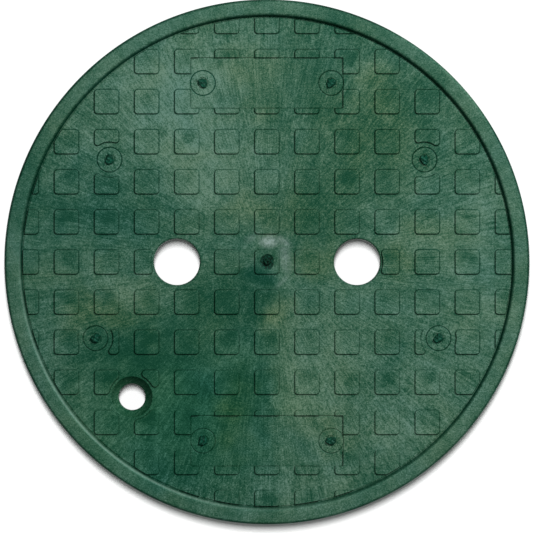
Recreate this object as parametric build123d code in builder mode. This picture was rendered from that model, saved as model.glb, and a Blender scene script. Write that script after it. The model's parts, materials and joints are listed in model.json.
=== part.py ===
from build123d import *
import math
import os

# Lid of a round valve box, moulded in one piece from green polyethylene.
# Millimetres, +Z up. The origin is on the lid's axis, on the plane that its skirt stands on.

# Outside of the lid
lid_diameter = 262.0
lid_height = 25.0

# Top plate, the raised rim round it and the skirt below the rim
plate_thickness = 4.5
rim_width = 8.6
rim_rise = 2.2
rim_outer_round = 1.5
rim_outer_flats = 3
rim_wall_lean = 0.7
rim_inner_bevel_width = 1.8
rim_inner_bevel_depth = 0.6
crease_width = 0.6
crease_depth = 0.3
skirt_thickness = 4.0
skirt_foot_bevel = 0.7

# Raised pads that give a boot its grip, on a square grid over the whole field. A pad centred beyond the
# last radius would be too small a piece beside the rim, and the mould leaves it out.
pad_pitch = 20.0
pad_size = 12.25
pad_corner_cut = 1.1
pad_rise = 0.9
pad_centre_limit = 127.5

# Two bare label plates, left by exchangeable inserts in the mould
label_length = 76.0
label_width = 25.2
label_distance = 89.3
label_sink = 0.25

# Two holes that a finger or a pick lifts the lid by
finger_hole_radius = 11.5
finger_hole_spacing = 90.0
finger_edge_bevel = 0.7
finger_pad_clearance = 0.6

# Countersunk hole for the bolt that locks the lid to its box
bolt_hole_radius = 6.66
bolt_head_radius = 10.3
bolt_head_angle = 90.0
bolt_hole_distance = 95.3
bolt_hole_direction = 225.0
bolt_pad_clearance = 1.2

# Marks of the injection points: a shallow cup with the broken sprue in it
gate_distance = 93.7
gate_directions = (33.0, 147.0, 204.0, 336.0)
gate_inset_in_label = 6.0
gate_mark_radius = 6.2
gate_cup_radius = 2.8
gate_cup_depth = 0.35
gate_pad_clearance = 2.6
stub_radius = 1.9
stub_sides = 7
stub_taper = 20.0
stub_rise = 0.6
middle_cup_radius = 3.4
middle_stub_radius = 1.3

# Ribs, ring ribs and bosses on the underside
rib_thickness = 3.0
rib_depth = 7.0
rib_pairs = 3
short_rib_count = 6
inner_ring_radius = 22.0
outer_ring_radius = 72.0
finger_boss_wall = 3.0
bolt_boss_wall = 4.0

# Levels and radii that follow from these
lid_radius = lid_diameter / 2
field_radius = lid_radius - rim_width
field_height = lid_height - rim_rise
plate_underside = field_height - plate_thickness
rib_foot = plate_underside - rib_depth
skirt_inner_radius = lid_radius - skirt_thickness
rim_wall_top_radius = field_radius + rim_wall_lean
rim_flat_radius = rim_wall_top_radius + rim_inner_bevel_width
pad_limit_radius = field_radius - crease_width
pad_reach = math.floor(field_radius / pad_pitch)
label_floor = field_height - label_sink
rib_angle = 180 / rib_pairs

# The rim's outer edge is a quarter round, given in a few equal flats.
rim_outer_edge = [
    (
        lid_radius - rim_outer_round + rim_outer_round * math.sin(turn * math.pi / 2),
        lid_height - rim_outer_round + rim_outer_round * math.cos(turn * math.pi / 2),
    )
    for turn in [step / rim_outer_flats for step in range(rim_outer_flats + 1)]
]

label_centres = [(0, label_distance), (0, -label_distance)]
finger_centres = [(finger_hole_spacing / 2, 0), (-finger_hole_spacing / 2, 0)]
bolt_centre = (
    bolt_hole_distance * math.cos(math.radians(bolt_hole_direction)),
    bolt_hole_distance * math.sin(math.radians(bolt_hole_direction)),
)
gate_centres = [
    (
        gate_distance * math.cos(math.radians(direction)),
        gate_distance * math.sin(math.radians(direction)),
    )
    for direction in gate_directions
]
gate_in_label = label_length / 2 - gate_inset_in_label
label_gate_centres = [
    (side * gate_in_label, y) for side in (1, -1) for (_, y) in label_centres
]

pad_lines = [pad_pitch * step for step in range(-pad_reach, pad_reach + 1)]
pad_centres = [(x, y) for x in pad_lines for y in pad_lines if math.hypot(x, y) < pad_centre_limit]

with BuildSketch() as pad_outline:
    Rectangle(pad_size, pad_size)
    chamfer(pad_outline.vertices(), length=pad_corner_cut)

with BuildPart() as lid:
    # Plate, rim and skirt are one section turned round the axis.
    with BuildSketch(Plane.XZ) as section:
        with BuildLine():
            Polyline(
                (0, field_height),
                (pad_limit_radius, field_height),
                (pad_limit_radius, field_height - crease_depth),
                (field_radius, field_height - crease_depth),
                (field_radius, field_height),
                (rim_wall_top_radius, lid_height - rim_inner_bevel_depth),
                (rim_flat_radius, lid_height),
                *rim_outer_edge,
                (lid_radius, 0),
                (skirt_inner_radius, 0),
                (skirt_inner_radius, plate_underside),
                (0, plate_underside),
                close=True,
            )
        make_face()
        foot_corners = section.vertices().group_by(Axis.Y)[0]
        chamfer(foot_corners, length=skirt_foot_bevel)
    revolve(axis=Axis.Z)

    # The labels lie slightly below the field.
    with BuildSketch(Plane.XY.offset(label_floor)):
        with Locations(label_centres):
            Rectangle(label_length, label_width)
    extrude(amount=label_sink, mode=Mode.SUBTRACT)

    # Ring ribs, radial ribs and bosses hang from the plate as one web.
    with BuildSketch(Plane.XY.offset(rib_foot)):
        Circle(outer_ring_radius + rib_thickness / 2)
        Circle(outer_ring_radius - rib_thickness / 2, mode=Mode.SUBTRACT)
        Circle(inner_ring_radius + rib_thickness / 2)
        Circle(inner_ring_radius - rib_thickness / 2, mode=Mode.SUBTRACT)
        # Long ribs run right across; the finger holes lie between them.
        with PolarLocations(0, rib_pairs, start_angle=rib_angle / 2, angular_range=180):
            Rectangle(2 * lid_radius, rib_thickness)
        # Short ribs run from the outer ring rib to the skirt.
        short_rib_length = lid_radius - outer_ring_radius
        with PolarLocations(outer_ring_radius + short_rib_length / 2, short_rib_count):
            Rectangle(short_rib_length, rib_thickness)
        with Locations(finger_centres):
            Circle(finger_hole_radius + finger_boss_wall)
        with Locations(bolt_centre):
            Circle(bolt_hole_radius + bolt_boss_wall)
        Circle(skirt_inner_radius + skirt_thickness / 2, mode=Mode.INTERSECT)
    extrude(amount=rib_depth)

    # Finger holes go right through the plate and their bosses, with a rounded upper edge.
    with Locations([(x, y, field_height) for (x, y) in finger_centres]):
        Hole(finger_hole_radius)
    finger_edges = lid.edges().filter_by(GeomType.CIRCLE).filter_by(
        lambda edge: abs(edge.radius - finger_hole_radius) < 1e-6
    )
    chamfer(finger_edges.group_by(Axis.Z)[-1], length=finger_edge_bevel)

    with Locations((*bolt_centre, field_height)):
        CounterSinkHole(
            bolt_hole_radius,
            bolt_head_radius,
            counter_sink_angle=bolt_head_angle,
        )

    # Each gate mark outside the middle is cut from the level that it lies on: the field or a label.
    gate_levels = [(x, y, field_height) for (x, y) in gate_centres]
    gate_levels += [(x, y, label_floor) for (x, y) in label_gate_centres]
    for x, y, level in gate_levels:
        with BuildSketch(Plane((x, y, level))):
            Circle(gate_cup_radius)
        extrude(amount=-gate_cup_depth, mode=Mode.SUBTRACT)
        with BuildSketch(Plane((x, y, level - gate_cup_depth))):
            RegularPolygon(stub_radius, stub_sides)
        extrude(amount=gate_cup_depth + stub_rise, taper=stub_taper)

    # The middle mark's floor and sprue stand inside the middle pad.
    with BuildSketch(Plane.XY.offset(field_height)):
        Circle(middle_cup_radius)
    extrude(amount=pad_rise - gate_cup_depth)
    with BuildSketch(Plane.XY.offset(field_height + pad_rise - gate_cup_depth)):
        RegularPolygon(middle_stub_radius, stub_sides)
    extrude(amount=gate_cup_depth, taper=stub_taper)

    # Pads are cut off by the rim, the labels and the room round each hole and side gate.
    with BuildSketch(Plane.XY.offset(field_height)):
        with Locations(pad_centres):
            add(pad_outline.sketch)
        Circle(pad_limit_radius, mode=Mode.INTERSECT)
        with Locations(label_centres):
            Rectangle(label_length, label_width, mode=Mode.SUBTRACT)
        with Locations(finger_centres):
            finger_edge_radius = finger_hole_radius + finger_edge_bevel
            Circle(finger_edge_radius + finger_pad_clearance, mode=Mode.SUBTRACT)
        with Locations(bolt_centre):
            Circle(bolt_head_radius + bolt_pad_clearance, mode=Mode.SUBTRACT)
        with Locations(gate_centres):
            Circle(gate_mark_radius + gate_pad_clearance, mode=Mode.SUBTRACT)
        Circle(middle_cup_radius, mode=Mode.SUBTRACT)
    extrude(amount=pad_rise)

lid.part.label = "lid"

os.makedirs("parts", exist_ok=True)
export_step(lid.part, "parts/lid.step")
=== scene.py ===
import json
import math

import bmesh
import bpy
import numpy as np
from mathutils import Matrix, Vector
from mathutils.geometry import delaunay_2d_cdt


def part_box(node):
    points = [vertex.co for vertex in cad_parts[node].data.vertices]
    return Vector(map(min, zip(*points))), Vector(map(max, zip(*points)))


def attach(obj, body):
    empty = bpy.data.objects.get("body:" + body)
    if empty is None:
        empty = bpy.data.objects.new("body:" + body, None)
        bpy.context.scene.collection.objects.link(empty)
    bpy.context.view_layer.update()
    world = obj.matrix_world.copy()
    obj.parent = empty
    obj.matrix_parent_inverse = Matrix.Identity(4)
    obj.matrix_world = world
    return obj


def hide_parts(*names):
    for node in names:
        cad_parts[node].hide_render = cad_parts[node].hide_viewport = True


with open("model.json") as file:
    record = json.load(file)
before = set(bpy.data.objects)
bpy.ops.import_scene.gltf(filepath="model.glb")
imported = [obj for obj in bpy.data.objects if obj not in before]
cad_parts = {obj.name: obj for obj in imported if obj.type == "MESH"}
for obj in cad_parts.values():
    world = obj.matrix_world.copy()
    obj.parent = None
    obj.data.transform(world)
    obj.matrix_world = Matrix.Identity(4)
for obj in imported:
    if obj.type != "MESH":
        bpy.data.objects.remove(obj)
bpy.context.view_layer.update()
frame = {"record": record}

# Lengths are in millimetres until a mesh is made of them.
MM = 0.001
high_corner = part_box("lid")[1]
mounts = {mount["name"]: mount for mount in frame["record"]["mounts"]}


def mount_place(name):
    """The x and y of a mount's axis."""
    return tuple(value / MM for value in mounts[name]["pos_m"][:2])


# Outside of the lid and its levels
lid_radius = high_corner.x / MM
lid_top = high_corner.z / MM
rim_rise = 2.2
field_level = lid_top - rim_rise
plate_thickness = 4.5
plate_underside = field_level - plate_thickness
rib_depth = 7.0
rib_foot = plate_underside - rib_depth

# Rim and skirt
rim_width = 8.6
rim_outer_round = 1.5
rim_crown_fall = 0.09
rim_wall_foot = lid_radius - rim_width
rim_wall_width = 0.7
rim_shoulder_width = 1.6
rim_shoulder_depth = 0.8
crease_width = 0.6
crease_depth = 0.34
crease_floor_radius = rim_wall_foot - 0.25
skirt_thickness = 4.0
skirt_inner_radius = lid_radius - skirt_thickness
skirt_foot_bevel = 0.7

# Grip pads. One centred beyond the last radius is left out, as too small a piece beside the rim.
pad_pitch = 20.0
pad_centre_limit = 127.5
pad_size = 12.25
pad_corner = 1.65
pad_rise = 0.9
pad_dish = 0.07
pad_limit_radius = rim_wall_foot - crease_width
pad_edge = (-0.30, 0.20)
cut_steepness = 1.8
bolt_cut_corner = 1.95
widest_turn = math.radians(160.0)

# Label plates
label_length = 76.0
label_width = 25.2
label_distance_out = 89.3
label_corner = 0.5
label_sink = 0.25
witness_depth = 0.16
witness_half_width = 0.26

# Holes
finger_hole_radius = mounts["finger_hole_left"]["dims"]["r_mm"]
finger_edge_round = 0.7
finger_pad_clearance = 0.6
finger_clearance_radius = finger_hole_radius + finger_edge_round + finger_pad_clearance
bolt_hole_radius = mounts["bolt_hole"]["dims"]["r_mm"]
bolt_head_radius = 10.3
bolt_edge_softness = 0.16
bolt_pad_clearance = 1.2
bolt_clearance_radius = bolt_head_radius + bolt_pad_clearance
lower_edge_round = 0.3

# How far beside a bevel or a rounded edge a further row of points keeps the flat next to it flat
edge_support = 0.15

# Gate marks
gate_distance = 93.7
gate_directions = (33.0, 147.0, 204.0, 336.0)
gate_inset_in_label = 6.0
gate_ring_radius = 6.2
gate_ring_depth = 0.24
gate_ring_half_width = 0.34
gate_pad_clearance = 2.6
gate_clearance_radius = gate_ring_radius + gate_pad_clearance
gate_cup_radius = 2.7
gate_cup_depth = 0.3
gate_stub_radius = 2.3
gate_stub_rise = 1.15
middle_cup_radius = 3.6
middle_stub_radius = 1.7
middle_stub_rise = 0.95

# Web of ribs on the underside
rib_half_thickness = 1.5
inner_ring_radius = 22.0
outer_ring_radius = 72.0
finger_boss_wall = 3.0
finger_boss_radius = finger_hole_radius + finger_boss_wall
bolt_boss_wall = 4.0
bolt_boss_radius = bolt_hole_radius + bolt_boss_wall
long_rib_angles = (30.0, 90.0, 150.0)
short_rib_angles = (0.0, 60.0, 120.0, 180.0, 240.0, 300.0)

# Points on the circles of the rim, a hole, its clearance, a gate's outlines and a gate's ring
rim_points = 440
hole_points = 96
clearance_points = 144
gate_points = 48
gate_ring_points = 60

# The angle from which an edge between faces looks sharp, and in metres how near two points are one
sharp_angle = math.radians(52.0)
weld_gap = 2e-6

# Distances from the outline of a pad, label, cup and stub at which its edge is drawn, from outside in
pad_levels = np.array([0.62, 0.34, *np.linspace(pad_edge[1], pad_edge[0], 5), -0.44, -1.6])
label_levels = np.array([0.45, 0.26, 0.13, 0.0, -0.13, -0.26, -0.45])
cup_levels = np.array([0.4, 0.25, 0.07, -0.11, -0.3])
stub_levels = np.array([0.15, -0.05, -0.25, -0.45, -0.75])

finger_places = [mount_place("finger_hole_left"), mount_place("finger_hole_right")]
bolt_place = mount_place("bolt_hole")
label_places = [(0.0, label_distance_out), (0.0, -label_distance_out)]
side_gates = [
    (gate_distance * math.cos(math.radians(way)), gate_distance * math.sin(math.radians(way)))
    for way in gate_directions
]
gate_in_label = label_length / 2 - gate_inset_in_label
label_gates = [(side * gate_in_label, y) for side in (1, -1) for (_, y) in label_places]

# Holes through the lid: place, radius, and how far below the field their straight wall begins
through_holes = [(*place, finger_hole_radius, finger_edge_round) for place in finger_places]
through_holes += [(*bolt_place, bolt_hole_radius, bolt_head_radius - bolt_hole_radius)]

# Rooms that the pads leave free: place, radius, and the radius of the corners that a cut leaves
clearances = [(x, y, finger_clearance_radius, pad_corner) for (x, y) in finger_places]
clearances += [(*bolt_place, bolt_clearance_radius, bolt_cut_corner)]
clearances += [(x, y, gate_clearance_radius, pad_corner) for (x, y) in side_gates]


def smooth_step(value, start, end):
    """0 before start, 1 after end, and 3t^2 - 2t^3 between them."""
    t = np.clip((value - start) / (end - start), 0, 1)
    return t * t * (3 - 2 * t)


def soft_bump(value, half_width):
    """1 at the middle and 0 from half_width on, as (1 - t^2)^2."""
    t = np.clip(value / half_width, -1, 1)
    return (1 - t * t) ** 2


def quarter_round(distance, radius):
    """How far a rounded edge has fallen at a distance from its wall: radius less the circle's height."""
    inside = np.clip(radius - distance, 0, radius)
    return radius - np.sqrt(radius * radius - inside * inside)


def box_distance(x, y, half_x, half_y, corner):
    """Distance from a rounded rectangle's outline, negative inside: the length of what passes the corner's
    centre, less the corner's radius."""
    over_x = np.abs(x) - (half_x - corner)
    over_y = np.abs(y) - (half_y - corner)
    past_corner = np.hypot(np.maximum(over_x, 0), np.maximum(over_y, 0))
    return past_corner + np.minimum(np.maximum(over_x, over_y), 0) - corner


def whole_pad_distance(x, y):
    """Distance from the nearest pad's outline, on a grid folded onto one pad, and far where none is."""
    column = pad_pitch * np.round(x / pad_pitch)
    row = pad_pitch * np.round(y / pad_pitch)
    near = box_distance(x - column, y - row, pad_size / 2, pad_size / 2, pad_corner)
    return np.where(np.hypot(column, row) < pad_centre_limit, near, pad_pitch)


def finger_distance(x, y):
    """Distance from the axis of the nearer finger hole."""
    return np.min([np.hypot(x - cx, y - cy) for (cx, cy) in finger_places], axis=0)


def bolt_distance(x, y):
    """Distance from the axis of the bolt hole."""
    return np.hypot(x - bolt_place[0], y - bolt_place[1])


def clearance_distance(x, y):
    """Distance into the room round the nearest hole or side gate, positive inside it."""
    return np.max([radius - np.hypot(x - cx, y - cy) for (cx, cy, radius, _) in clearances], axis=0)


def rounded_cut_corners():
    """The corners that a clearance circle leaves on a pad, each as the centre and radius of its rounding
    and the two ways out between which it turns, from right to left. The centre lies one radius inside the
    pad's side and outside the circle. A corner that turns further than widest_turn is a neck, left open."""
    corners = []
    for cx, cy, clearance, radius in clearances:
        half = pad_size / 2 - radius
        nearest = pad_pitch * np.round(np.divide((cx, cy), pad_pitch))
        for column, row, side in np.ndindex(3, 3, 4):
            out = np.array((math.cos(side * math.pi / 2), math.sin(side * math.pi / 2)))
            along = np.array((-out[1], out[0]))
            side_middle = nearest + pad_pitch * np.array((column - 1, row - 1)) + half * out
            from_circle = side_middle - (cx, cy)
            reach = (clearance + radius) ** 2 - (from_circle @ out) ** 2
            for sign in (1, -1):
                share = sign * math.sqrt(max(reach, 0)) - from_circle @ along
                centre = side_middle + share * along
                to_circle = np.subtract((cx, cy), centre) / (clearance + radius)
                turn = math.acos(np.clip(to_circle @ out, -1, 1))
                if reach > 0 and abs(share) <= half and turn < widest_turn:
                    ways = (out, to_circle) if to_circle @ along > 0 else (to_circle, out)
                    corners.append((centre, radius, turn, *ways))
    return corners


cut_corners = rounded_cut_corners()


def soft_pad_distance(x, y):
    """A pad's outline, cut by the room round each hole and side gate: the greater of the two distances,
    or at a rounded corner the distance from the rounding's centre less its radius."""
    distance = np.maximum(whole_pad_distance(x, y), clearance_distance(x, y))
    for (cx, cy), radius, turn, first, last in cut_corners:
        across, along = x - cx, y - cy
        beside = (first[0] * along - first[1] * across >= 0) & (across * last[1] - along * last[0] >= 0)
        tip = min(1.3 * radius / math.cos(turn / 2), pad_pitch - pad_size) + pad_levels[0]
        near = beside & (np.hypot(across, along) < tip)
        distance = np.where(near, np.hypot(across, along) - radius, distance)
    return distance


def label_distance(x, y):
    """Distance from the outline of the nearer label plate, negative inside."""
    v = np.abs(y) - label_distance_out
    return box_distance(x, v, label_length / 2, label_width / 2, label_corner)


def pad_distance(x, y):
    """A pad's outline, cut off sharply too by the rim and by the label plates."""
    rim_cut = cut_steepness * (np.hypot(x, y) - pad_limit_radius)
    label_cut = -cut_steepness * label_distance(x, y)
    return np.maximum(soft_pad_distance(x, y), np.maximum(rim_cut, label_cut))


class Gate:
    """A gate mark: a ring, a shallow cup and the torn stub of the sprue. The draws turn the waves of its
    outline and of its top, and tilt the top."""

    def __init__(self, place, cup_radius, stub_radius, stub_rise, ring, draw):
        self.x, self.y = place
        self.cup_radius = cup_radius
        self.stub_radius = stub_radius
        self.stub_rise = stub_rise
        self.ring = ring
        self.phases = draw.uniform(0, 2 * math.pi, 6)
        self.tilt = draw.uniform(-0.12, 0.12, 2)

    def waver(self, angle):
        """How far the stub's outline leaves its circle, as a share of the radius: three sine waves."""
        first, second, third = self.phases[:3]
        wave = 0.13 * np.sin(2 * angle + first) + 0.09 * np.sin(3 * angle + second)
        return wave + 0.06 * np.sin(7 * angle + third)

    def cup_waver(self, angle):
        """The cup's outline wavers like the stub's, but less and one radian further on."""
        return 0.45 * self.waver(angle + 1.0)

    def cup_distance(self, x, y):
        angle = np.arctan2(y - self.y, x - self.x)
        return np.hypot(x - self.x, y - self.y) - self.cup_radius * (1 + self.cup_waver(angle))

    def stub_distance(self, x, y):
        angle = np.arctan2(y - self.y, x - self.x)
        return np.hypot(x - self.x, y - self.y) - self.stub_radius * (1 + self.waver(angle))

    def ring_distance(self, x, y):
        return np.hypot(x - self.x, y - self.y) - gate_ring_radius

    def height(self, x, y):
        """The ring's groove, the cup's floor and the stub that stands in it. The stub's top is torn: a
        product of two sine waves, a finer wave across them and a tilt."""
        across, along = x - self.x, y - self.y
        cup = 1 - smooth_step(self.cup_distance(x, y), -0.3, 0.25)
        stub = 1 - smooth_step(self.stub_distance(x, y), -0.45, 0.15)
        torn = 0.24 * np.sin(2.3 * across + self.phases[3]) * np.sin(2.9 * along + self.phases[4])
        torn = torn + 0.12 * np.sin(5.1 * along - 3.7 * across + self.phases[5])
        top = gate_cup_depth + self.stub_rise + torn + self.tilt[0] * across + self.tilt[1] * along
        height = -gate_cup_depth * cup + top * stub
        if self.ring:
            height = height - gate_ring_depth * soft_bump(self.ring_distance(x, y), gate_ring_half_width)
        return height


tear = np.random.default_rng(7)
gates = [
    Gate(place, gate_cup_radius, gate_stub_radius, gate_stub_rise, True, tear)
    for place in side_gates + label_gates
]
gates += [Gate((0.0, 0.0), middle_cup_radius, middle_stub_radius, middle_stub_rise, False, tear)]


def pad_height(distance):
    """A smooth step up to the pad's level, and a very slight dish in its middle."""
    step = 1 - smooth_step(distance, *pad_edge)
    dish = smooth_step(-distance, 0.3, pad_size / 2)
    return pad_rise * step - pad_dish * dish


def label_height(distance):
    """A small step down to the label's level, with the fine witness line of the insert along it."""
    step = 1 - smooth_step(distance, -0.2, 0.15)
    return -label_sink * step - witness_depth * soft_bump(distance, witness_half_width)


def bolt_depth(x, y):
    """The 45-degree countersink: 0 outside the head's radius, then the distance in, eased by a parabola."""
    into = bolt_head_radius - bolt_distance(x, y)
    eased = (into + bolt_edge_softness) ** 2 / (4 * bolt_edge_softness)
    return np.where(into < -bolt_edge_softness, 0, np.where(into > bolt_edge_softness, into, eased))


def top_height(x, y):
    """Level of the lid's face at a place: the field, with all that stands on it or is cut into it."""
    out = np.hypot(x, y)
    height = field_level + pad_height(pad_distance(x, y)) + label_height(label_distance(x, y))
    height = height - crease_depth * smooth_step(out, pad_limit_radius - 0.1, rim_wall_foot - 0.3)
    height = height - bolt_depth(x, y)
    height = height - quarter_round(finger_distance(x, y) - finger_hole_radius, finger_edge_round)
    for gate in gates:
        height = height + gate.height(x, y)
    return height


# A section of the web as (distance from its wall, height above its foot), and one of the skirt's inside
# as (radius, height)
web_section = ((-0.4, 0.0), (-0.1, 0.08), (0.0, 0.35), (0.12, 6.6), (0.26, 6.9), (0.55, rib_depth))
skirt_section = (
    (skirt_inner_radius - 0.95, plate_underside),
    (skirt_inner_radius - 0.5, plate_underside - 0.12),
    (skirt_inner_radius - 0.28, plate_underside - 0.7),
    (skirt_inner_radius, skirt_foot_bevel),
)


def web_distance(x, y):
    """Distance from the outline of the ribs, ring ribs and bosses, negative inside."""
    out = np.hypot(x, y)
    near = [np.abs(out - inner_ring_radius) - rib_half_thickness]
    near += [np.abs(out - outer_ring_radius) - rib_half_thickness]
    for way in np.radians(long_rib_angles):
        near += [np.abs(x * np.sin(way) - y * np.cos(way)) - rib_half_thickness]
    for way in np.radians(short_rib_angles):
        beside = np.abs(x * np.sin(way) - y * np.cos(way)) - rib_half_thickness
        before = outer_ring_radius - (x * np.cos(way) + y * np.sin(way))
        near += [np.maximum(beside, before)]
    near += [finger_distance(x, y) - finger_boss_radius, bolt_distance(x, y) - bolt_boss_radius]
    return np.min(near, axis=0)


def underside_height(x, y):
    """Level of the lid's underside: the plate's, or the web's or the skirt's where they hang lower."""
    web = rib_foot + np.interp(web_distance(x, y), *np.transpose(web_section))
    skirt = np.interp(np.hypot(x, y), *np.transpose(skirt_section))
    height = np.minimum(web, skirt)
    height = height + quarter_round(finger_distance(x, y) - finger_hole_radius, lower_edge_round)
    return height + quarter_round(bolt_distance(x, y) - bolt_hole_radius, lower_edge_round)


class Plan:
    """Curves drawn on the plane, which a face's triangles follow. Its border is a circle, and curves are cut
    off a gap inside it. A triangle lies in a hole if its middle is within hole_share of the radius."""

    border_gap = 0.06
    merge_gap = 1e-4
    level_slack = 1e-3
    hole_share = 0.9995

    def __init__(self, radius, border_points):
        self.points = [circle(0, 0, radius, border_points)[0]]
        index = np.arange(border_points)
        self.edges = [np.stack((index, np.roll(index, -1)), axis=-1)]
        self.count = border_points
        self.limit = radius - self.border_gap

    def draw(self, curves, keep=None, closed=True):
        """Adds curves, an array of (..., points, 2). keep says which points count: an edge stays where
        either of its ends does."""
        rows = np.reshape(curves, (-1, np.shape(curves)[-2], 2))
        kept = np.ones(rows.shape[:2], bool) if keep is None else np.reshape(keep, rows.shape[:2])
        index = self.count + np.arange(kept.size).reshape(kept.shape)
        edges = np.stack((index, np.roll(index, -1, axis=1)), axis=-1)
        use = kept | np.roll(kept, -1, axis=1)
        if not closed:
            use[:, -1] = False
        self.points.append(rows.reshape(-1, 2))
        self.edges.append(edges[use])
        self.count += kept.size

    def draw_near(self, curves, distance, levels):
        """Adds one curve for each level, where its points lie no further out than the level."""
        near = distance(curves[..., 0], curves[..., 1]) < levels[:, None] + self.level_slack
        self.draw(curves, near)

    def cut_at_border(self, points, edges):
        """Drops edges outside the limit, and ends those that cross it where |start + t * run| = limit."""
        out = np.hypot(*points.T) > self.limit
        out[: len(self.points[0])] = False
        edges = edges[~(out[edges[:, 0]] & out[edges[:, 1]])]
        crossing = out[edges[:, 0]] | out[edges[:, 1]]
        swapped = np.where(out[edges[:, :1]], edges[:, ::-1], edges)
        start = points[swapped[crossing, 0]]
        run = points[swapped[crossing, 1]] - start
        square = (run**2).sum(axis=1)
        half = (start * run).sum(axis=1)
        inside = self.limit**2 - (start**2).sum(axis=1)
        share = (np.sqrt(half**2 + square * inside) - half) / square
        swapped[crossing, 1] = len(points) + np.arange(crossing.sum())
        return np.concatenate((points, start + share[:, None] * run)), swapped

    def spot(self, points):
        """Adds single points."""
        self.points.append(np.reshape(points, (-1, 2)))
        index = self.count + np.arange(len(self.points[-1]))
        self.edges.append(np.stack((index, index), axis=-1))
        self.count += len(index)

    def triangles(self):
        """Places and triangles of the plane between the curves, with the lid's holes left open."""
        points, edges = self.cut_at_border(np.concatenate(self.points), np.concatenate(self.edges))
        used, edges = np.unique(edges, return_inverse=True)
        edges = edges.reshape(-1, 2)
        edges = edges[edges[:, 0] != edges[:, 1]]
        flat = [Vector(point) for point in points[used].tolist()]
        placed, _, faces, *_ = delaunay_2d_cdt(flat, edges.tolist(), [], 0, self.merge_gap)
        places = np.array([tuple(point) for point in placed])
        faces = np.array(faces)
        middle = places[faces].mean(axis=1)
        for cx, cy, radius, _ in through_holes:
            outside = np.hypot(middle[:, 0] - cx, middle[:, 1] - cy) > radius * self.hole_share
            faces = faces[outside]
            middle = middle[outside]
        return places, faces


def ways_at(angle):
    """The ways out at these angles, as (..., 2)."""
    return np.stack((np.cos(angle), np.sin(angle)), axis=-1)


def circle(x, y, radii, count):
    """Circles round one centre, as (radii, count, 2)."""
    angle = np.arange(count) * (2 * math.pi / count)
    radii = np.reshape(radii, (-1, 1))
    return np.stack((x + radii * np.cos(angle), y + radii * np.sin(angle)), axis=-1)


def rounded_outline(half_x, half_y, corner, arc_points, spacing):
    """A rounded rectangle as the centres of its corners and sides, and the way out at each: a ring at a
    level is centre + way * (corner + level)."""
    centres = []
    ways = []
    inner_x, inner_y = half_x - corner, half_y - corner
    corners = [(inner_x, inner_y), (-inner_x, inner_y), (-inner_x, -inner_y), (inner_x, -inner_y)]
    for turn, (here, after) in enumerate(zip(corners, corners[1:] + corners[:1])):
        angle = math.pi / 2 * (turn + np.linspace(0, 1, arc_points))
        centres.append(np.repeat([here], arc_points, axis=0))
        ways.append(ways_at(angle))
        steps = math.ceil(math.dist(here, after) / spacing)
        share = np.arange(1, steps)[:, None] / steps
        centres.append((1 - share) * np.array(here) + share * np.array(after))
        ways.append(np.repeat(ways[-1][-1:], steps - 1, axis=0))
    return np.concatenate(centres), np.concatenate(ways)


def draw_pads(plan):
    """Rings round every pad: few points on a whole one, many on one that a clearance circle cuts, and a
    fan of arcs round each corner that the cut leaves."""
    reach = math.floor(rim_wall_foot / pad_pitch)
    steps = pad_pitch * np.arange(-reach, reach + 1)
    centres = np.stack(np.meshgrid(steps, steps), axis=-1).reshape(-1, 2)
    centres = centres[np.hypot(*centres.T) < pad_centre_limit]
    rings = []
    for arc_points, spacing in ((5, 4.6), (7, 0.6)):
        base, way = rounded_outline(pad_size / 2, pad_size / 2, pad_corner, arc_points, spacing)
        out = (pad_corner + pad_levels)[:, None, None] * way
        rings.append(centres[:, None, None] + base + out)
    few, many = rings
    round_cut = np.any(clearance_distance(many[..., 0], many[..., 1]) > pad_levels[:, None], axis=(1, 2))
    plan.draw_near(few[~round_cut], pad_distance, pad_levels)
    plan.draw_near(many[round_cut], pad_distance, pad_levels)
    plan.spot(centres[pad_distance(*centres.T) < -pad_size / 4])
    for x, y, radius, _ in clearances:
        plan.draw_near(circle(x, y, radius - pad_levels, clearance_points), pad_distance, pad_levels)
    for centre, radius, turn, first, _ in cut_corners:
        angle = math.atan2(first[1], first[0]) + turn * np.linspace(0, 1, 8)
        plan.draw(centre + (radius + pad_levels[:-1])[:, None, None] * ways_at(angle), closed=False)


def label_rings(levels):
    """Rings round both labels, at these distances from their outlines."""
    base, way = rounded_outline(label_length / 2, label_width / 2, label_corner, 5, 1.5)
    out = (label_corner + levels)[:, None, None] * way
    return [place + base + out for place in label_places]


def draw_sharp_cuts(plan):
    """Rings of the rim and the labels, where they cut pads off."""
    levels = pad_levels[1:-1]
    rim_rings = circle(0, 0, pad_limit_radius + levels / cut_steepness, rim_points)
    for rings in (rim_rings, *label_rings(-levels / cut_steepness)):
        plan.draw_near(rings, soft_pad_distance, levels)


def draw_gates(plan):
    """Rings of each gate's groove, its wavering cup and its wavering stub."""
    angle = np.arange(gate_points) * (2 * math.pi / gate_points)
    way = ways_at(angle)
    for gate in gates:
        place = np.array([gate.x, gate.y])
        if gate.ring:
            out = gate_ring_radius + gate_ring_half_width * np.array([-1.5, -1, -0.5, 0, 0.5, 1, 1.5])
            plan.draw(circle(gate.x, gate.y, out, gate_ring_points))
        cup = gate.cup_radius * (1 + gate.cup_waver(angle)) + cup_levels[:, None]
        stub = gate.stub_radius * (1 + gate.waver(angle)) + stub_levels[:, None]
        plan.draw(place + cup[..., None] * way)
        plan.draw(place + stub[..., None] * way)
        inner = gate.stub_radius * np.array([0.15, 0.35, 0.5])
        plan.draw(circle(gate.x, gate.y, inner, gate_points // 2))


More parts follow.
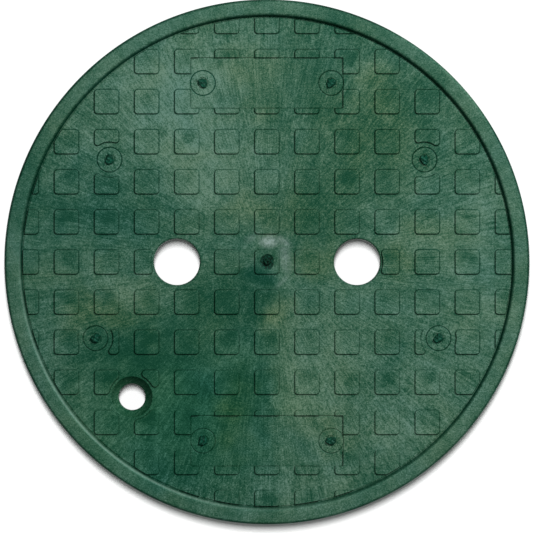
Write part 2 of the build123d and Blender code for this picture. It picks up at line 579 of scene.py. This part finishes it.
def top_face():
    """The lid's face inside the rim's crease."""
    plan = Plan(crease_floor_radius, rim_points)
    plan.draw(circle(0, 0, pad_limit_radius + np.array([-0.5, -0.1, 0.06, 0.2]), rim_points // 2))
    draw_pads(plan)
    draw_sharp_cuts(plan)
    for rings in label_rings(label_levels):
        plan.draw(rings)
    draw_gates(plan)
    fall = np.linspace(0, math.pi / 2, 6)
    rounds = finger_hole_radius + finger_edge_round * (1 - np.sin(fall))
    rounds = [*rounds, rounds[0] + 0.12, rounds[0] + 0.5]
    for x, y in finger_places:
        plan.draw(circle(x, y, rounds, hole_points))
    edge = bolt_head_radius + bolt_edge_softness * np.array([3, 1, 0.5, 0, -0.5, -1, -2])
    plan.draw(circle(*bolt_place, edge, hole_points))
    plan.draw(circle(*bolt_place, bolt_hole_radius + np.array([0, edge_support, 1.5]), hole_points))
    places, faces = plan.triangles()
    return np.column_stack((places, top_height(*places.T))), faces


def underside_face():
    """The lid's underside inside the foot of its skirt."""
    plan = Plan(skirt_inner_radius, rim_points)
    levels = np.array([-0.55, *np.transpose(web_section)[0], 0.75])
    wall = rib_half_thickness + levels
    foot_radius = np.interp(rib_foot, *np.transpose(skirt_section[::-1])[::-1])
    inner = [radius for (radius, _) in skirt_section[:-1]]
    plan.draw(circle(0, 0, [*inner, foot_radius, foot_radius - 0.06], rim_points // 2))

    def draw_web(curves, closed=True):
        near = web_distance(curves[..., 0], curves[..., 1])
        plan.draw(curves, near > levels[:, None] - plan.level_slack, closed)

    for radius in (inner_ring_radius, outer_ring_radius):
        for side in (1, -1):
            draw_web(circle(0, 0, radius + side * wall, round(radius * 2 + 60)))
    for x, y in finger_places:
        draw_web(circle(x, y, finger_boss_radius + levels, hole_points))
    draw_web(circle(*bolt_place, bolt_boss_radius + levels, hole_points))
    long_ways = [(way + turn, 0) for way in long_rib_angles for turn in (0, 180)]
    for way, start in long_ways + [(way, outer_ring_radius) for way in short_rib_angles]:
        along = np.array([math.cos(math.radians(way)), math.sin(math.radians(way))])
        across = np.array([-along[1], along[0]])
        reach = np.linspace(start, skirt_inner_radius + 1, 24)[:, None] * along
        for side in (1, -1):
            draw_web(reach + side * wall[:, None, None] * across, False)
    turn = np.linspace(0, math.pi / 2, 4)
    rounds = lower_edge_round * np.array([*(1 - np.sin(turn)), 1.3])
    for x, y, radius, _ in through_holes:
        plan.draw(circle(x, y, radius + rounds, hole_points))
    places, faces = plan.triangles()
    return np.column_stack((places, underside_height(*places.T))), faces


def turned(section, x, y, count):
    """A section of (radius, level) carried round an axis: radius * (cos, sin) at each angle."""
    radius, level = np.transpose(section)
    rings = circle(x, y, radius, count)
    levels = np.repeat(level[:, None, None], count, axis=1)
    points = np.concatenate((rings, levels), axis=-1).reshape(-1, 3)
    here = np.arange((len(radius) - 1) * count).reshape(-1, count)
    beside = np.roll(here, -1, axis=1)
    quads = np.stack((here, beside, beside + count, here + count), axis=-1).reshape(-1, 4)
    return points, quads


def rim_and_skirt():
    """From the crease over the rim, down the outside, round the foot and to the skirt's inside."""
    crease = field_level - crease_depth
    wall_foot = crease + 0.2
    wall_top = lid_top - rim_shoulder_depth
    section = [(crease_floor_radius, crease), (rim_wall_foot - 0.1, crease + 0.02)]
    for share in np.linspace(0, 1, 5):
        lean = 0.16 * share + 0.84 * share**2
        section.append((rim_wall_foot + rim_wall_width * lean, wall_foot + (wall_top - wall_foot) * share))
    for turn in np.linspace(0.18, 1, 6) * math.pi / 2:
        out = rim_wall_foot + rim_wall_width + rim_shoulder_width * (1 - math.cos(turn))
        section.append((out, wall_top + rim_shoulder_depth * math.sin(turn)))
    round_start = lid_radius - rim_outer_round
    crown_level = lid_top - rim_crown_fall
    for turn in np.linspace(0, 1, 9) * math.pi / 2:
        out = round_start + rim_outer_round * math.sin(turn)
        section.append((out, crown_level - rim_outer_round * (1 - math.cos(turn))))
    side_levels = (12.0, skirt_foot_bevel + edge_support, skirt_foot_bevel)
    section += [(lid_radius, level) for level in side_levels]
    foot_outside = lid_radius - skirt_foot_bevel
    foot_inside = skirt_inner_radius + skirt_foot_bevel
    foot = (foot_outside, foot_outside - edge_support, foot_inside + edge_support, foot_inside)
    section += [(radius, 0.0) for radius in foot]
    section.append((skirt_inner_radius, skirt_foot_bevel))
    return turned(section, 0, 0, rim_points)


def hole_wall(x, y, radius, depth):
    """The wall of a hole through the plate and its boss."""
    upper = field_level - depth
    lower = rib_foot + lower_edge_round
    levels = [upper, upper - edge_support, (upper + lower) / 2, lower]
    return turned([(radius, level) for level in levels], x, y, hole_points)


def lid_mesh():
    """All faces of the lid as one closed surface, in metres."""
    parts = [top_face(), underside_face(), rim_and_skirt()]
    parts += [hole_wall(*hole) for hole in through_holes]
    points = np.concatenate([part[0] for part in parts])
    starts = np.cumsum([0] + [len(part[0]) for part in parts])
    faces = [face for start, part in zip(starts, parts) for face in (part[1] + start).tolist()]
    mesh = bpy.data.meshes.new("lid_skin")
    mesh.from_pydata((points * MM).tolist(), [], faces)
    work = bmesh.new()
    work.from_mesh(mesh)
    bmesh.ops.remove_doubles(work, verts=work.verts, dist=weld_gap)
    loose = [vertex for vertex in work.verts if not vertex.link_faces]
    bmesh.ops.delete(work, geom=loose, context="VERTS")
    bmesh.ops.recalc_face_normals(work, faces=work.faces)
    work.to_mesh(mesh)
    work.free()
    return mesh


# How much painted shade darkens each kind of edge, groove and recess, where the line round a pad has 1. The
# rim's crease and the countersink have as much more towards the upper right, whose slopes are turned from
# the key light, as the second number says.
crease_shade = (1.4, 0.4)
cone_shade = (0.14, 0.36)
cone_edge_shade = (0.5, 0.3)
witness_shade = 0.5
gate_ring_shade = 1.3
outer_edge_shade = 1.3
finger_edge_shade = 0.7


def rising(amounts, share):
    """The first amount, and as much more as the second where the share is 1."""
    return amounts[0] + amounts[1] * share


def crevice_shade(x, y, z):
    """How much painted shade darkens a place: the greatest of the bumps along each kind of edge."""
    out = np.hypot(x, y)
    into = bolt_head_radius - bolt_distance(x, y)
    # The countersink's side towards the upper right is turned from the key light and gets more painted
    # shade.
    turned_from_light = 0.5 + (x - bolt_place[0] + y - bolt_place[1]) / (3 * bolt_head_radius)
    # Painted shade along the lid's outer round edge, where it turns steeply away from the light.
    outer_edge = smooth_step(out, lid_radius - 1.6, lid_radius - 0.5) * smooth_step(z, 21.0, 23.5)
    cone = rising(cone_shade, turned_from_light) * smooth_step(into, -0.2, 0.6)
    kinds = [
        soft_bump(pad_distance(x, y) - 0.05, 0.5),
        witness_shade * soft_bump(label_distance(x, y), 0.42),
        rising(crease_shade, (x + y) / lid_radius) * soft_bump(out - rim_wall_foot - 0.14, 0.5),
        outer_edge_shade * outer_edge,
        cone + rising(cone_edge_shade, turned_from_light) * soft_bump(into - 0.3, 0.7),
        finger_edge_shade * soft_bump(finger_distance(x, y) - finger_hole_radius - 0.5, 0.7),
    ]
    rings = [gate.ring_distance(x, y) for gate in gates if gate.ring]
    kinds += [gate_ring_shade * soft_bump(ring, gate_ring_half_width * 1.5) for ring in rings]
    return np.max(kinds, axis=0)


def gate_marks(x, y):
    """1 on a torn stub, and 1 in the room round it, or half as much round the middle one, which has no
    ring and is dark over its whole cup."""
    torn = []
    room = []
    for gate in gates:
        if gate.ring:
            torn.append(1 - smooth_step(gate.stub_distance(x, y), -0.1, 0.35))
            room.append(1 - smooth_step(gate.ring_distance(x, y), -2.5, -0.4))
        else:
            torn.append(1 - smooth_step(gate.cup_distance(x, y), -0.3, 0.4))
            room.append(0.5 - 0.5 * smooth_step(gate.cup_distance(x, y), 0.5, 3.0))
    return np.max(torn, axis=0), np.max(room, axis=0)


def surface_marks(mesh):
    """Writes numbers at each vertex of the face: crevice, how much painted shade darkens the creases,
    grooves, recesses and outer edge, torn, on a stub, gate_room, round one, pad_top, on a pad's top, rim,
    and wall, at the rim's inner wall."""
    place = np.empty(len(mesh.vertices) * 3)
    mesh.vertices.foreach_get("co", place)
    x, y, z = place.reshape(-1, 3).T / MM
    beyond_wall = np.hypot(x, y) - rim_wall_foot
    torn, room = gate_marks(x, y)
    marks = {
        # crevice holds the painted shade of the creases, grooves, recesses and outer edge.
        "crevice": crevice_shade(x, y, z),
        "torn": torn,
        "gate_room": room,
        "pad_top": smooth_step(-pad_distance(x, y), 0.1, 1.2),
        "rim": smooth_step(beyond_wall, 0.0, 0.6),
        "wall": soft_bump(beyond_wall - 0.84, 0.94),
    }
    face = z > plate_underside + 0.1
    for name, value in marks.items():
        attribute = mesh.attributes.new(name, "FLOAT", "POINT")
        attribute.data.foreach_set("value", (value * face).astype(np.float32))


def linear(red, green, blue):
    """A colour of the screen, 0 to 255, as the shader takes it."""
    shares = np.array([red, green, blue]) / 255
    low = shares / 12.92
    high = ((shares + 0.055) / 1.055) ** 2.4
    return (*np.where(shares <= 0.04045, low, high).tolist(), 1.0)


class Finish:
    """A material and short ways to add its nodes."""

    def __init__(self, name):
        self.material = bpy.data.materials.new(name)
        self.material.use_nodes = True
        self.nodes = self.material.node_tree.nodes
        self.links = self.material.node_tree.links
        self.shader = self.nodes["Principled BSDF"]

    def plug(self, node, inputs):
        """Gives a node's inputs their values, or links them to other nodes' outputs."""
        for key, value in dict(inputs).items():
            if isinstance(value, bpy.types.NodeSocket):
                self.links.new(value, node.inputs[key])
            else:
                node.inputs[key].default_value = value

    def add(self, kind, inputs=(), **settings):
        """A node with its settings and inputs."""
        made = self.nodes.new("ShaderNode" + kind)
        for key, value in settings.items():
            setattr(made, key, value)
        self.plug(made, inputs)
        return made

    def calculate(self, operation, *values):
        """Arithmetic on two or more values, from left to right."""
        total = values[0]
        for value in values[1:]:
            total = self.add("Math", {0: total, 1: value}, operation=operation).outputs[0]
        return total

    def sum(self, *values):
        return self.calculate("ADD", *values)

    def times(self, *values):
        return self.calculate("MULTIPLY", *values)

    def vector(self, operation, *values):
        """An operation on one or more vectors."""
        return self.add("VectorMath", enumerate(values), operation=operation).outputs["Vector"]

    def length(self, vector):
        return self.add("VectorMath", {0: vector}, operation="LENGTH").outputs["Value"]

    def mark(self, name):
        """A number that surface_marks wrote."""
        return self.add("Attribute", attribute_name=name).outputs["Fac"]

    def noise(self, place, scale, detail, amount, distortion=0.0, roughness=0.5):
        """Noise with its middle at 0, times an amount."""
        look = {"Scale": scale, "Detail": detail, "Distortion": distortion, "Roughness": roughness}
        made = self.add("TexNoise", {"Vector": place, **look}).outputs["Fac"]
        return self.times(self.calculate("SUBTRACT", made, 0.5), amount)

    def drift(self, place, scale):
        """Slow noise with a direction: a vector whose parts lie between 0 and 1."""
        return self.add("TexNoise", {"Vector": place, "Scale": scale, "Detail": 3.0}).outputs["Color"]

    def change(self, value, start, end, low, high, curve="LINEAR"):
        """low up to start, high from end on, and a straight or smooth change between them."""
        sizes = {"From Min": start, "From Max": end, "To Min": low, "To Max": high}
        return self.add("MapRange", {"Value": value, **sizes}, interpolation_type=curve).outputs["Result"]

    def mix(self, share, first, second, blend="MIX"):
        """A colour between two, or with another blend the first altered by the second."""
        inputs = {0: share, 6: first, 7: second}
        return self.add("Mix", inputs, data_type="RGBA", blend_type=blend).outputs[2]


# Soft blotches of the marbled plastic: x and y of the middle, reach along and across, turn in degrees,
# then how much paler it is than the rest and how much warmer
blotches = (
    (-48, 90, 52, 38, 20, 1.4, 0.0),
    (-62, 56, 26, 24, 0, 0.6, 0.0),
    (-30, 50, 40, 38, 0, 1.25, 0.25),
    (-2, 104, 20, 26, 0, 0.2, 0.1),
    (-2, 76, 14, 24, 0, 0.1, 0.45),
    (24, 92, 22, 44, 0, -0.9, 0.1),
    (44, 122, 36, 18, -20, -0.9, 0.0),
    (72, 92, 36, 26, -35, -0.8, 0.0),
    (50, 58, 50, 40, 20, -0.75, 0.8),
    (24, 26, 28, 26, 0, -0.9, 0.6),
    (-86, 20, 50, 38, 0, -0.75, -0.6),
    (-60, 18, 22, 16, 0, -0.5, -0.2),
    (-118, 62, 26, 30, 60, -0.5, 0.0),
    (-74, -11, 34, 16, -12, 0.7, 0.7),
    (-80, -27, 40, 14, 0, -0.2, 1.2),
    (-64, -44, 44, 20, 0, -2.2, -0.3),
    (-36, -40, 26, 18, 0, -0.9, -0.4),
    (-28, -60, 24, 16, 0, -0.8, -1.0),
    (-52, -107, 34, 14, -30, -0.3, -0.5),
    (-30, 122, 26, 10, 15, -0.6, -0.3),
    (-122, 42, 20, 34, 0, -1.2, -0.5),
    (-8, 98, 32, 18, 0, 0.4, 0.6),
    (-7, 22, 26, 14, 0, 0.4, 0.8),
    (-36, -88, 58, 50, 10, -1.05, -0.8),
    (-11, -70, 13, 18, 0, -0.8, 0.0),
    (-110, -50, 26, 34, 20, -0.1, -0.2),
    (-20, -76, 17, 30, 0, 0.4, 1.5),
    (0, -70, 12, 40, 0, -0.4, -0.5),
    (-22, -18, 34, 28, 20, -1.3, 0.1),
    (-8, -34, 13, 26, 0, -0.6, -0.4),
    (-6, -7, 14, 11, 0, -1.5, -0.7),
    (4, -27, 20, 22, 0, 0.8, 1.2),
    (24, 2, 18, 18, 0, 0.2, 1.1),
    (84, 17, 26, 16, 0, 0.2, 0.5),
    (57, 84, 26, 18, -30, 0.45, 0.8),
    (78, 2, 30, 20, 0, 0.4, 0.0),
    (100, 2, 20, 18, 0, 0.4, 0.0),
    (26, -60, 34, 44, -25, 0.75, 0.5),
    (36, -86, 24, 14, 0, 0.1, 0.7),
    (62, -84, 32, 24, 0, 0.8, 0.0),
    (24, -108, 40, 18, 0, 0.5, 0.0),
    (92, -60, 44, 46, 0, 0.35, 0.0),
    (98, 22, 34, 46, 0, 0.4, 0.05),
    (110, -28, 18, 24, 0, 0.7, 0.3),
    (63, -3, 24, 18, 0, -0.3, 0.8),
    (54, -22, 28, 16, 0, 0.4, 0.0),
    (-92, 62, 30, 22, 50, 0.3, 0.0),
)

# The pale blush that the melt left beside the middle gate: x, y, reach along and across, turn, strength
blushes = (
    (1.0, 10.2, 7.0, 4.6, 0, 0.75),
    (9.0, 2.0, 4.4, 12.5, 8, 0.3),
    (8.5, 10.5, 7.0, 2.8, -38, 0.26),
    (7.5, -10.0, 6.5, 2.0, 42, 0.17),
    (-7.5, 12.0, 6.0, 3.0, 30, 0.16),
)

# Where the painted shade of the lines round the pads and of the other creases is fainter or stronger: x, y,
# reach along and across, turn, how much
line_places = (
    (-45, -80, 85, 65, 0, -0.38),
    (50, -85, 80, 60, 0, -0.28),
    (-70, 75, 85, 70, 30, 0.3),
    (70, 80, 60, 60, 0, 0.16),
    (-100, 0, 50, 50, 0, 0.14),
    (94, 94, 13, 70, 45, -0.9),
    (88, 0, 62, 74, 0, 0.26),
)

# Where the fine strokes are fainter: x, y, reach along and across, turn, how much
calm_places = (
    (-55, -62, 80, 62, 20, -0.32),
    (-112, 0, 44, 60, 0, -0.2),
    (108, -5, 46, 60, 0, -0.16),
)

# Noise: scale per millimetre, detail, amount, then distortion and roughness where they are given
mottling = ((0.03, 2.0, 1.0, 0.5), (0.1, 3.0, 2.5, 0.7), (0.4, 2.0, 1.9, 0.4, 0.6))
grain = ((1.6, 2.0, 7.6, 0.2, 0.75), (0.8, 1.0, 1.2, 0.5))
warmth_noise = (0.05, 3.0, 1.6, 0.4)
speck_noise = (1.2, 2.0, 1.0, 0.0, 0.7)
blush_noise = (0.7, 3.0, 3.6, 0.8, 0.65)
line_noise = (0.06, 2.0, 1.1)
stub_noise = (0.9, 2.0, 3.4)
rough_noise = (0.6, 3.0, 0.3)
relief_noise = (1.8, 3.0, 1.0)

# Strokes: times around, times along, amount
strokes = ((120.0, 0.1, 4.0), (40.0, 0.06, 1.5))
relief_strokes = (90.0, 0.2, 1.0)

# Colours of the screen from the darkest tone, -2, to the palest, 2
tone_colours = ((19, 64, 46), (37, 78, 59), (58, 94, 75), (79, 112, 94), (100, 131, 115))

# How much brighter the face looks under the studio's light than its own colour is, and the light that its
# surface adds to every colour
light_gain = 1.04
surface_light = np.array((0.006, 0.011, 0.0095))

# Where the sides begin, under the lid's face
side_level = 22.0


def seen_as(red, green, blue):
    """The plastic's own colour where the lit face looks like this colour of the screen."""
    own = (np.array(linear(red, green, blue)[:3]) - surface_light) / light_gain
    return (*np.maximum(own, 0.0015).tolist(), 1.0)


def blotch(finish, place, x, y, along, across, turn, amount):
    """A soft oval: amount at its middle, easing to 0 where (distance / reach) is 1."""
    rotation = (0.0, 0.0, math.radians(turn))
    oval = {"Location": (x, y, 0.0), "Rotation": rotation, "Scale": (along, across, 400.0)}
    local = finish.add("Mapping", {"Vector": place, **oval}, vector_type="TEXTURE").outputs["Vector"]
    return finish.change(finish.length(local), 0.0, 1.0, amount, 0.0, "SMOOTHSTEP")


def blotches_of(finish, place, spots):
    """The sum of several soft ovals."""
    return finish.sum(*(blotch(finish, place, *spot) for spot in spots))


def fibres(finish, place, around, along, amount):
    """Fine strokes that run outwards: noise on the direction (cos, sin) times around, and on the distance
    from the middle times along. Below the face, down the sides, the height breaks them up."""
    flat = finish.vector("MULTIPLY", place, (1.0, 1.0, 0.0))
    way = finish.vector("MULTIPLY", finish.vector("NORMALIZE", flat), (around, around, 0.0))
    height = finish.add("SeparateXYZ", {0: place}).outputs["Z"]
    below = finish.calculate("MINIMUM", height, side_level)
    reach = finish.sum(finish.times(finish.length(flat), along), finish.times(below, 0.6))
    depth = finish.add("CombineXYZ", {"Z": reach}).outputs["Vector"]
    return finish.noise(finish.vector("ADD", way, depth), 1.0, 3.0, amount, 0.4, 0.6)


def pad_top_spots(finish, place):
    """Darker tops of the pads, each as strong as its own draw: a soft spot above the middle of every
    square of the grid, times the pad_top mark. The wander's own middle is half its reach of 9 mm."""
    half = pad_pitch / 2
    wander = finish.vector("MULTIPLY", finish.drift(place, 0.22), (9.0, 9.0, 0.0))
    moved = finish.vector("ADD", finish.vector("ADD", place, wander), (-5.8, -7.0, 0.0))
    local = finish.vector("WRAP", moved, (half, half, 99.0), (-half, -half, -99.0))
    out = finish.length(finish.vector("MULTIPLY", local, (1.0, 1.0, 0.0)))
    spot = finish.change(out, 1.0, 7.0, -1.0, 0.12, "SMOOTHSTEP")
    middle = finish.vector("ADD", place, (half, half, 0.0))
    cell = finish.vector("SNAP", middle, (pad_pitch, pad_pitch, 400.0))
    draw = finish.add("TexWhiteNoise", {"Vector": cell}).outputs["Value"]
    strength = finish.sum(finish.times(draw, draw, 1.4), 0.15)
    return finish.times(spot, finish.mark("pad_top"), strength)


def texture(finish, place, rim):
    """Fine strokes and grain: fewer strokes on the rim, and all of it fainter in the calm places."""
    drawn = finish.sum(*(fibres(finish, place, *layer) for layer in strokes))
    drawn = finish.times(drawn, finish.sum(finish.times(rim, -0.6), 1.0))
    fine = finish.sum(drawn, *(finish.noise(place, *layer) for layer in grain))
    calm = finish.sum(finish.times(rim, -0.12), 1.0, blotches_of(finish, place, calm_places))
    return finish.times(fine, calm)


def specks(finish, place):
    """Pale flecks all over and dark pits in the room round a gate, from the two ends of one noise."""
    speck = finish.noise(place, *speck_noise)
    flecks = finish.change(speck, 0.12, 0.24, 0.0, 1.6)
    pits = finish.change(speck, -0.04, -0.16, 0.0, -2.6)
    return finish.sum(flecks, finish.times(pits, finish.mark("gate_room")))


def marbled(finish, place, swayed):
    """The plastic's own colour: its tone from dark to pale, and more red and less blue where it is warm."""
    rim = finish.mark("rim")
    tone = finish.sum(*(finish.noise(place, *layer) for layer in mottling))
    warmth = finish.noise(place, *warmth_noise)
    for *oval, paler, warmer in blotches:
        tone = finish.sum(tone, blotch(finish, swayed, *oval, paler))
        if warmer:
            warmth = finish.sum(warmth, blotch(finish, swayed, *oval, warmer))
    tone = finish.sum(tone, texture(finish, place, rim), finish.times(rim, 0.25))
    tone = finish.sum(tone, pad_top_spots(finish, place), specks(finish, place))

    ramp = finish.add("ValToRGB", {"Fac": finish.sum(finish.times(tone, 0.25), 0.5)})
    stops = ramp.color_ramp.elements
    for step in range(1, len(tone_colours) - 1):
        stops.new(step / (len(tone_colours) - 1))
    for stop, colour in zip(stops, tone_colours):
        stop.color = seen_as(*colour)
    red = finish.sum(finish.times(warmth, 0.2), 1.0)
    blue = finish.sum(finish.times(warmth, -0.2), 1.0)
    tint = finish.add("CombineXYZ", {"X": red, "Y": 1.0, "Z": blue}).outputs["Vector"]
    colour = finish.mix(1.0, ramp.outputs["Color"], tint, "MULTIPLY")
    deeper = blotch(finish, swayed, -44, -74, 80, 62, 10, 1.0)
    return finish.mix(deeper, colour, (0.7, 1.0, 0.82, 1.0), "MULTIPLY")


def with_painted_shade(finish, place, colour):
    """A colour with painted shade in the creases and on the rim's inner wall, and a painted highlight on
    that wall at the lower left, the side that faces the key light, where the wall gets no painted shade."""
    strength = finish.sum(finish.noise(place, *line_noise), 0.7, blotches_of(finish, place, line_places))
    wall = finish.mark("wall")
    # Painted highlight: the rim's inner wall turns pale at the lower left, where it faces the light.
    lit_side = blotch(finish, place, -90, -90, 200, 110, -45, 1.4)
    colour = finish.mix(finish.times(wall, lit_side, 0.23), colour, seen_as(150, 178, 166))
    wall_shade = finish.change(lit_side, 0.0, 1.0, 0.8, 0.0)
    # Painted shade in the creases and on the rest of the rim's inner wall.
    painted_shade = finish.sum(finish.times(finish.mark("crevice"), strength), finish.times(wall, wall_shade))
    shade = finish.mix(painted_shade, (1.0, 1.0, 1.0, 1.0), (0.04, 0.3, 0.24, 1.0))
    return finish.mix(1.0, colour, shade, "MULTIPLY")


def with_stubs(finish, place, colour):
    """A colour with the deep green of the torn stubs, deeper still in the middle one."""
    middle = blotch(finish, place, 0, 0, 8, 8, 0, 1.2)
    paler = finish.sum(finish.noise(place, *stub_noise), finish.times(middle, -0.3), 0.4)
    deep = finish.mix(middle, seen_as(4, 50, 39), seen_as(0, 34, 26))
    stub = finish.mix(paler, deep, seen_as(28, 84, 66))
    return finish.mix(finish.times(finish.mark("torn"), 0.95), colour, stub)


def lid_plastic():
    """Mottled deep green polyethylene, matte and lightly scuffed. Its ovals are drawn at a place that slow
    noise sways, which gives them uneven edges."""
    finish = Finish("lid_plastic")
    metres = finish.add("TexCoord").outputs["Object"]
    place = finish.add("Mapping", {"Vector": metres, "Scale": (1 / MM, 1 / MM, 1 / MM)}).outputs["Vector"]
    sway = finish.vector("SUBTRACT", finish.drift(place, 0.045), (0.5, 0.5, 0.5))
    swayed = finish.vector("ADD", place, finish.vector("MULTIPLY", sway, (34.0, 34.0, 0.0)))

    colour = marbled(finish, place, swayed)
    uneven = finish.sum(finish.noise(place, *blush_noise), 0.95)
    blush = finish.times(blotches_of(finish, place, blushes), uneven)
    colour = finish.mix(blush, colour, seen_as(148, 168, 162))
    colour = with_stubs(finish, place, with_painted_shade(finish, place, colour))

    relief = finish.sum(finish.noise(place, *relief_noise), fibres(finish, place, *relief_strokes))
    bump = finish.add("Bump", {"Height": relief, "Distance": 0.00015, "Strength": 0.7})
    surface = {
        "Base Color": colour,
        "Roughness": finish.sum(finish.noise(place, *rough_noise), 0.42),
        "Specular IOR Level": 0.18,
        "Specular Tint": (0.4, 1.0, 0.82, 1.0),
        "Normal": bump.outputs["Normal"],
    }
    finish.plug(finish.shader, surface)
    return finish.material


def put_in_scene(name, data):
    """An object with this mesh, lamp or camera, in the scene."""
    made = bpy.data.objects.new(name, data)
    bpy.context.scene.collection.objects.link(made)
    return made


def pale_floor():
    """Plain floor, which gives off a little light of its own."""
    finish = Finish("pale_floor")
    surface = {
        "Base Color": (0.8, 0.8, 0.8, 1.0),
        "Emission Color": (1.0, 1.0, 1.0, 1.0),
        "Emission Strength": 0.05,
        "Roughness": 1.0,
        "Specular IOR Level": 0.0,
    }
    finish.plug(finish.shader, surface)
    mesh = bpy.data.meshes.new("floor")
    side = floor_half_side
    corners = [(-side, -side, 0), (side, -side, 0), (side, side, 0), (-side, side, 0)]
    mesh.from_pydata(corners, [], [(0, 1, 2, 3)])
    mesh.materials.append(finish.material)
    floor = put_in_scene("floor", mesh)
    return floor


def make_lid():
    """The dressed lid stands for the CAD node."""
    mesh = lid_mesh()
    surface_marks(mesh)
    mesh.shade_smooth()
    mesh.set_sharp_from_angle(angle=sharp_angle)
    mesh.materials.append(lid_plastic())
    lid = put_in_scene("lid_skin", mesh)
    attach(lid, "root")
    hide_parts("lid")


# The studio, in metres. Lamps: azimuth and elevation in degrees, distance, watts, width and depth, and
# whether its light falls on the floor alone or on all but the floor
floor_half_side = 4.0
lamps = {
    "key_light": (45, 47, 1.6, 23, 0.4, 0.4, "EXCLUDE"),
    "back_light": (90, 76, 1.6, 6, 0.25, 0.25, "EXCLUDE"),
    "floor_light": (90, 83, 4.0, 186, 0.3, 0.66, "INCLUDE"),
}
sky_strength = 0.17
camera_place = (-0.0002, -0.00225, 3.0)
camera_lens = 403.0


def studio_light(name, azimuth, elevation, distance, watts, width, depth):
    """A soft rectangular lamp, turned to the lid."""
    light = bpy.data.lights.new(name, "AREA")
    light.energy = watts
    light.shape = "RECTANGLE"
    light.size = width
    light.size_y = depth
    made = put_in_scene(name, light)
    around, up = math.radians(azimuth), math.radians(elevation)
    way = Vector((math.cos(up) * math.cos(around), math.cos(up) * math.sin(around), math.sin(up)))
    made.location = way * distance
    made.rotation_euler = way.to_track_quat("Z", "Y").to_euler()
    return made


def studio(floor):
    """Soft key light from the upper right and an even pale sky. The floor has a high soft light to itself,
    so that it stays white right up to the lid's short shadow."""
    for name, (*lamp, state) in lamps.items():
        made = studio_light(name, *lamp)
        lit = bpy.data.collections.new("floor_and_" + name)
        lit.objects.link(floor)
        lit.collection_objects[0].light_linking.link_state = state
        made.light_linking.receiver_collection = lit
    world = bpy.data.worlds.new("pale_sky")
    world.use_nodes = True
    sky = world.node_tree.nodes["Background"].inputs
    sky["Color"].default_value = (1, 1, 1, 1)
    sky["Strength"].default_value = sky_strength
    bpy.context.scene.world = world
    bpy.context.scene.view_settings.view_transform = "Standard"


def photo_camera():
    """Straight above the lid, as far off as the photograph's faint perspective says."""
    camera = bpy.data.cameras.new("camera")
    camera.lens = camera_lens
    camera.sensor_width = 36.0
    made = put_in_scene("camera", camera)
    made.location = camera_place
    bpy.context.scene.camera = made


photo_camera()
studio(pale_floor())
make_lid()
